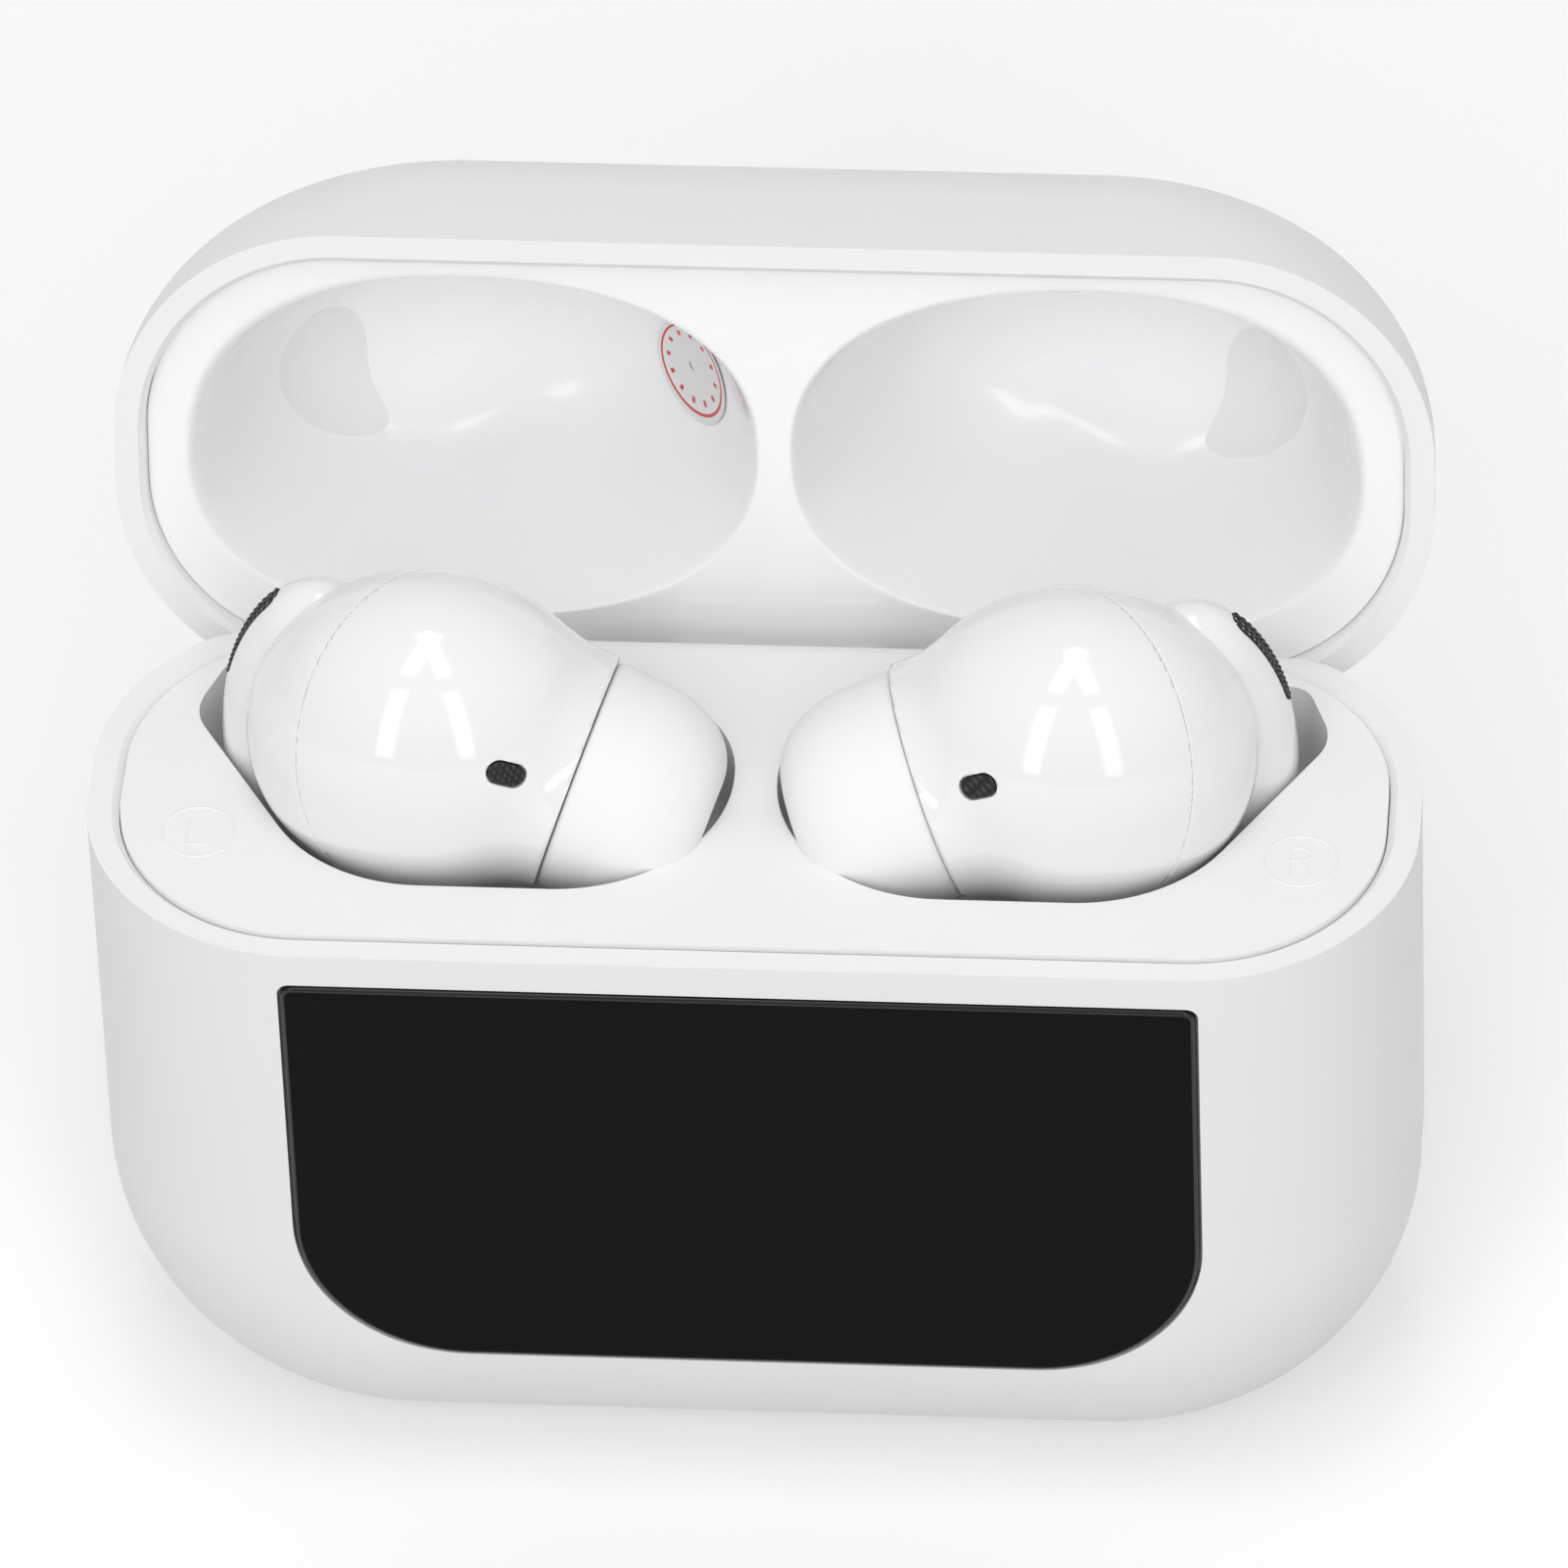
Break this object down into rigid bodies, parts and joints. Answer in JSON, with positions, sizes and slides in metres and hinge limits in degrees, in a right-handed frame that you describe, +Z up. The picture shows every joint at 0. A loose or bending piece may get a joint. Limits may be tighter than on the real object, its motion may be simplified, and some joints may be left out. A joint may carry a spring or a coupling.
{
  "type": "wireless earbuds charging case",
  "caption": "Slim rounded charging case with a black touch screen on its front, hinged lid standing open, and stemmed wireless earbuds in their cradles",
  "frame": {"origin": "middle of the flat under the case, at the mouth of the charging port", "axes": "+X along the width, to the right seen from the screen side; +Y from the screen towards the hinge; +Z up, from the foot to the parting line"},
  "size_m": [0.062, 0.0433, 0.0527],
  "materials": {
    "shell_white": "fine satin moulded polycarbonate",
    "gloss_white": "polished white",
    "silicone_white": "matte soft silicone",
    "screen_glass": "clear cover glass over black",
    "screen_ink": "black print",
    "screen_panel": "dark liquid crystal panel, off",
    "ribbon_amber": "polyimide film",
    "board_green": "solder mask",
    "chip_black": "moulded package",
    "foil_silver": "pouch foil and can",
    "port_steel": "stamped shell",
    "hinge_steel": "satin stainless",
    "magnet_nickel": "nickel plated",
    "contact_gold": "gold plated",
    "mesh_black": "woven black mesh",
    "sticker_paper": "printed paper label"
  },
  "bodies": {
    "case": {"base_shell": "shell_white", "battery": "foil_silver", "bracket_screws": "hinge_steel", "charger_chip": "chip_black", "charging_port": "port_steel", "contact_holders": "chip_black", "cradle_magnets": "magnet_nickel", "display_connector": "chip_black", "display_glass": "screen_glass", "display_mask": "screen_ink", "display_panel": "screen_panel", "display_ribbon": "ribbon_amber", "earbud_tray": "shell_white", "hall_sensor": "chip_black", "hinge_bracket": "hinge_steel", "hinge_pin": "hinge_steel", "hinge_springs": "hinge_steel", "main_board": "board_green", "memory_chip": "chip_black", "pairing_switch": "chip_black", "port_tongue": "chip_black", "processor_chip": "chip_black", "tray_magnet": "magnet_nickel"},
    "lid": {"lid_shell": "shell_white", "lid_liner": "gloss_white", "hinge_leaf": "hinge_steel", "leaf_screws": "hinge_steel", "lid_magnet": "magnet_nickel", "inspection_sticker": "sticker_paper"},
    "left_earbud": {"left_cell": "foil_silver", "left_charge_pads": "contact_gold", "left_circuit_board": "board_green", "left_driver": "foil_silver", "left_ear_tip": "silicone_white", "left_head_front": "gloss_white", "left_head_rear": "gloss_white", "left_keeper_magnet": "magnet_nickel", "left_nozzle": "hinge_steel", "left_nozzle_screen": "mesh_black", "left_sensor_window": "mesh_black", "left_stem_cap": "gloss_white", "left_vent_mesh": "mesh_black"},
    "right_earbud": {"right_cell": "foil_silver", "right_charge_pads": "contact_gold", "right_circuit_board": "board_green", "right_driver": "foil_silver", "right_ear_tip": "silicone_white", "right_head_front": "gloss_white", "right_head_rear": "gloss_white", "right_keeper_magnet": "magnet_nickel", "right_nozzle": "hinge_steel", "right_nozzle_screen": "mesh_black", "right_sensor_window": "mesh_black", "right_stem_cap": "gloss_white", "right_vent_mesh": "mesh_black"},
    "button": {"pairing_button": "shell_white"},
    "left_inner_probe_body": {"left_inner_probe": "contact_gold"},
    "left_outer_probe_body": {"left_outer_probe": "contact_gold"},
    "right_inner_probe_body": {"right_inner_probe": "contact_gold"},
    "right_outer_probe_body": {"right_outer_probe": "contact_gold"}
  },
  "joints": [
    {"name": "lid_hinge", "type": "hinge", "parent": "case", "child": "lid", "pos_m": [0, 0.01013, 0.03178], "axis": [1, 0, 0], "range_deg": [0, 103.5]},
    {"name": "left_earbud_lift", "type": "slide", "parent": "case", "child": "left_earbud", "axis": [0, 0, 1], "range_m": [0, 0.05]},
    {"name": "right_earbud_lift", "type": "slide", "parent": "case", "child": "right_earbud", "axis": [0, 0, 1], "range_m": [0, 0.05]},
    {"name": "pairing_button_press", "type": "slide", "parent": "case", "child": "button", "axis": [0, -1, 0], "range_m": [0, 0.0003], "stiffness_N_per_m": 800, "springref_m": -0.0003},
    {"name": "left_inner_probe_travel", "type": "slide", "parent": "case", "child": "left_inner_probe_body", "axis": [0, 0, -1], "range_m": [0, 0.0004], "stiffness_N_per_m": 800, "springref_m": -0.0003},
    {"name": "left_outer_probe_travel", "type": "slide", "parent": "case", "child": "left_outer_probe_body", "axis": [0, 0, -1], "range_m": [0, 0.0004], "stiffness_N_per_m": 800, "springref_m": -0.0003},
    {"name": "right_inner_probe_travel", "type": "slide", "parent": "case", "child": "right_inner_probe_body", "axis": [0, 0, -1], "range_m": [0, 0.0004], "stiffness_N_per_m": 800, "springref_m": -0.0003},
    {"name": "right_outer_probe_travel", "type": "slide", "parent": "case", "child": "right_outer_probe_body", "axis": [0, 0, -1], "range_m": [0, 0.0004], "stiffness_N_per_m": 800, "springref_m": -0.0003}
  ]
}
